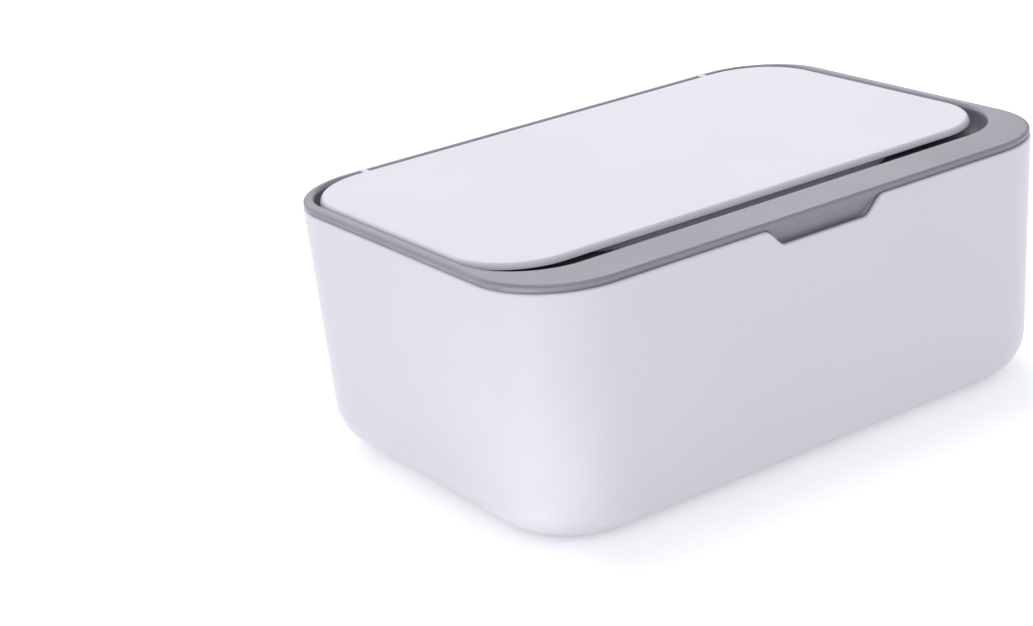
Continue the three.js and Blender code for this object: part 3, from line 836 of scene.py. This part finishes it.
def makeArm(name, x):
    # An arm in line with the lid that ends in a round about the hinge's axis
    under = math.degrees(math.asin((lidUnderZ - hingeZ) / hinge["knuckle"]))
    root = lidBackY - lid["edgeRun"] - hinge["armWeld"]
    section = [(root, lidUnderZ), *circle(hinge["knuckle"], -180 - under, 90, steps=28), (root, lidHigh[2])]
    half, ease = hinge["armWidth"] / 2, hinge["armRound"]
    stations = [(x - half, ease), (x - half + ease, 0), (x + half - ease, 0), (x + half, ease)]
    return barAlongX(name, section, stations, whitePolypropylene)


def makePegBar(name, x):
    # Both pegs of an arm as one round bar with chamfered ends
    half, chamfer = hinge["armWidth"] / 2 + hinge["pegLength"], hinge["pegChamfer"]
    section = circle(hinge["peg"], 0, 360, steps=32)[:-1]
    stations = [(x - half, chamfer), (x - half + chamfer, 0), (x + half - chamfer, 0), (x + half, chamfer)]
    return barAlongX(name, section, stations, whitePolypropylene)


lidShell = makeLid()
arms = [makeArm(f"arm{i}", x) for i, x in enumerate(hingeX)]
arms += [makePegBar(f"peg{i}", x) for i, x in enumerate(hingeX)]
lidShell = joined(lidShell, arms, "UNION")
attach(lidShell, "flip_lid")
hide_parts("lid")
print("lid made, vertices", len(lidShell.data.vertices))

# The soft pieces: the mouth, the lid's seal and the cover's gasket

gasket = {"land": 0.15, "tipRound": 0.2, "tipTurn": 60}


def makeMouth():
    # One closed lap of rows: round the slot's lip, up the bowl, over the flange on the dish, down the
    # neck to the clip under the dish, and back under the bowl. The bowl's outline goes from its rim to
    # the flat lip by 1 less the cosine, and its depth goes by the sine.
    lap = makeLap(front=evenShares(5), back=evenShares(5), support=1)
    slotCorner = mouth["slotWidth"] / 2 - mouth["slotCorner"]
    slot = centredOutline(mouth["slotLength"], mouth["slotWidth"], slotCorner)
    neck = -mouth["neckGap"]
    rim = grown(mouthOutline, neck - mouth["rim"])
    flatLip = grown(slot, mouth["slotLip"])
    top, skin, curl = mouthHigh[2], mouth["skin"], mouth["flangeRound"]
    reach = mouthHigh[0] - mouthOutline[0]
    clipEdge, clipLap = mouth["clipEdge"], mouth["clipLap"]
    bowlSteps, hidden = 16, 3             # and the rows by the rim that the underside leaves out
    angle = np.radians(np.linspace(90, 0, bowlSteps + 1))
    mix = 1 - np.cos(angle)
    bowl = rim + np.multiply.outer(mix, flatLip - rim)
    bowlZ = top - mouth["bowlDepth"] * np.sin(angle)
    slotRound = mouth["slotRound"]
    slotTop = top - mouth["bowlDepth"]
    slotRows = rowsOf((slot, profile(
        arc(slotRound, slotTop - skin + slotRound, slotRound, 270, 180, steps=4),
        arc(slotRound, slotTop - slotRound, slotRound, 180, 90, steps=4),
    )))
    clipTop = dishUnderZ - mouth["neckGap"]
    clipLow = clipTop - mouth["clip"]
    outerRows = rowsOf((mouthOutline, profile(
        arc(reach - curl, top - curl, curl, 90, 0, steps=6),
        (reach, dishFloorZ), (neck, dishFloorZ),
        (neck, clipTop), (clipLap, clipTop), (neck, clipLow),
        (neck - mouth["rim"] + clipEdge, clipLow), (neck - mouth["rim"], clipLow + clipEdge),
    )))
    meet = angle[::-1][hidden:]
    underMix = 1 - np.cos(meet)
    under = grown(rim + np.multiply.outer(underMix, flatLip - rim), np.full(meet.shape, skin))
    underZ = top - mouth["bowlDepth"] * np.sin(meet) - skin
    keep = underZ < clipLow - mouth["underGap"]
    outlines = np.concatenate([slotRows[0], bowl, outerRows[0], under[keep]])[::-1]
    heights = np.concatenate([slotRows[1], bowlZ, outerRows[1], underZ[keep]])[::-1]
    return stackPiece("softMouth", lap, (outlines, heights), whiteElastomer, closed=True)


def makeSealRing():
    # A ring between the lid's two walls, with a bead of two quarter circles along its low edge
    lap = makeLap(support=2)
    outer = -seal["outerWall"] - seal["ringGap"]
    inner = -seal["outerWall"] - seal["ring"] + seal["ringGap"]
    bead, low = seal["bead"], sealLow[2]
    rows = rowsOf((sealOutline, profile(
        arc(inner + bead, low + bead, bead, 180, 270, steps=8),
        arc(outer - bead, low + bead, bead, -90, 0, steps=8),
        (outer, sealHigh[2]), (inner, sealHigh[2]),
    )))
    return stackPiece("lidSealRing", lap, rows, greySilicone, closed=True)


def makeGasketRing():
    # A ring in the skirt's groove that narrows outwards to a small round, which meets the tub
    lap = makeLap(support=2)
    low, high = gasketLow[2], gasketHigh[2]
    middle = (low + high) / 2
    back = -cover["grooveDepth"] + cover["grooveGap"]
    tip = gasketHigh[0] - skirtOutline(middle)[0]
    land, tipRound, tipTurn = gasket["land"], gasket["tipRound"], gasket["tipTurn"]
    rows = rowsOf((skirtOutline, profile(
        (back, low), (-land, low),
        arc(tip - tipRound, middle, tipRound, -tipTurn, tipTurn, steps=6),
        (-land, high), (back, high),
    )))
    return stackPiece("coverGasketRing", lap, rows, greySilicone, closed=True)


for make, body, node, slotName in (
    (makeMouth, "cover", "dispensing_mouth", "soft_mouth"),
    (makeSealRing, "flip_lid", "lid_seal", "silicone"),
    (makeGasketRing, "cover", "cover_gasket", "silicone"),
):
    piece = make()
    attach(piece, body)
    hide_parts(node)
print("soft pieces made")

# The floor and the light

studio = {
    "floorSize": 12000,
    "floorColour": "#FAFAFB",
    "fibreSize": 25,
    "floorGlow": 0.23,        # the paper lies on a light table, which softens the shadow
    "skyStrength": 0.68,
    "skyColour": "#F6F6FF",
    "softboxes": {
        # name: place, aim, size across and up, spread in degrees, power in watts
        "stripLight": ((-230, -86, 700), (-230, -86, 0), (170, 20), 9, 0.36),
        "leftLight": ((-1500, -300, 700), (0, 0, 60), (1200, 900), 180, 1.8),
        "frontLight": ((-900, -1700, 1300), (0, 0, 50), (1600, 900), 180, 6.5),
        "topLight": ((150, 350, 1900), (0, 0, 40), (700, 700), 180, 8),
        "backLight": ((150, 1500, 930), (150, 0, 250), (3500, 900), 180, 12.5),
    },
}


def makeFloor():
    # One flat sheet of white paper with a faint cloudiness
    half = studio["floorSize"] / 2 * mm
    mesh = bpy.data.meshes.new("floor")
    corners = [(-half, -half, 0), (half, -half, 0), (half, half, 0), (-half, half, 0)]
    mesh.from_pydata(corners, [], [(0, 1, 2, 3)])
    floor = bpy.data.objects.new("floor", mesh)
    bpy.context.collection.objects.link(floor)
    material = bpy.data.materials.new("palePaper")
    material.use_nodes = True
    tree = material.node_tree
    tree.nodes.clear()
    place = addNode(tree, "ShaderNodeTexCoord").outputs["Object"]
    fibre = addNode(tree, "ShaderNodeTexNoise", {
        "Vector": place, "Scale": 1 / (studio["fibreSize"] * mm), "Detail": 2.0,
    })
    colour = addNode(tree, "ShaderNodeMix", {
        "Factor": fibre.outputs["Fac"], "A": linear(studio["floorColour"]), "B": linear("#FFFFFF"),
    }, data_type="RGBA")
    shader = addNode(tree, "ShaderNodeBsdfPrincipled", {
        "Base Color": colour.outputs["Result"], "Roughness": 0.9,
        "Emission Color": linear("#FFFFFF"), "Emission Strength": studio["floorGlow"],
    })
    addNode(tree, "ShaderNodeOutputMaterial", {"Surface": shader.outputs["BSDF"]})
    mesh.materials.append(material)


def makeSoftbox(name, place, target, size, spread, power):
    # A rectangular area light
    data = bpy.data.lights.new(name, "AREA")
    data.shape = "RECTANGLE"
    data.size, data.size_y = [length * mm for length in size]
    data.energy = power
    data.spread = math.radians(spread)
    light = bpy.data.objects.new(name, data)
    aim = Vector(target) - Vector(place)
    light.location = Vector(place) * mm
    light.rotation_euler = aim.to_track_quat("-Z", "Y").to_euler()
    bpy.context.collection.objects.link(light)


def makeSky():
    # Even light from all round
    world = bpy.data.worlds.new("studio")
    world.use_nodes = True
    background = world.node_tree.nodes["Background"]
    background.inputs["Color"].default_value = linear(studio["skyColour"])
    background.inputs["Strength"].default_value = studio["skyStrength"]
    bpy.context.scene.world = world


makeFloor()
makeSky()
for name, settings in studio["softboxes"].items():
    makeSoftbox(name, *settings)
print("studio lit")
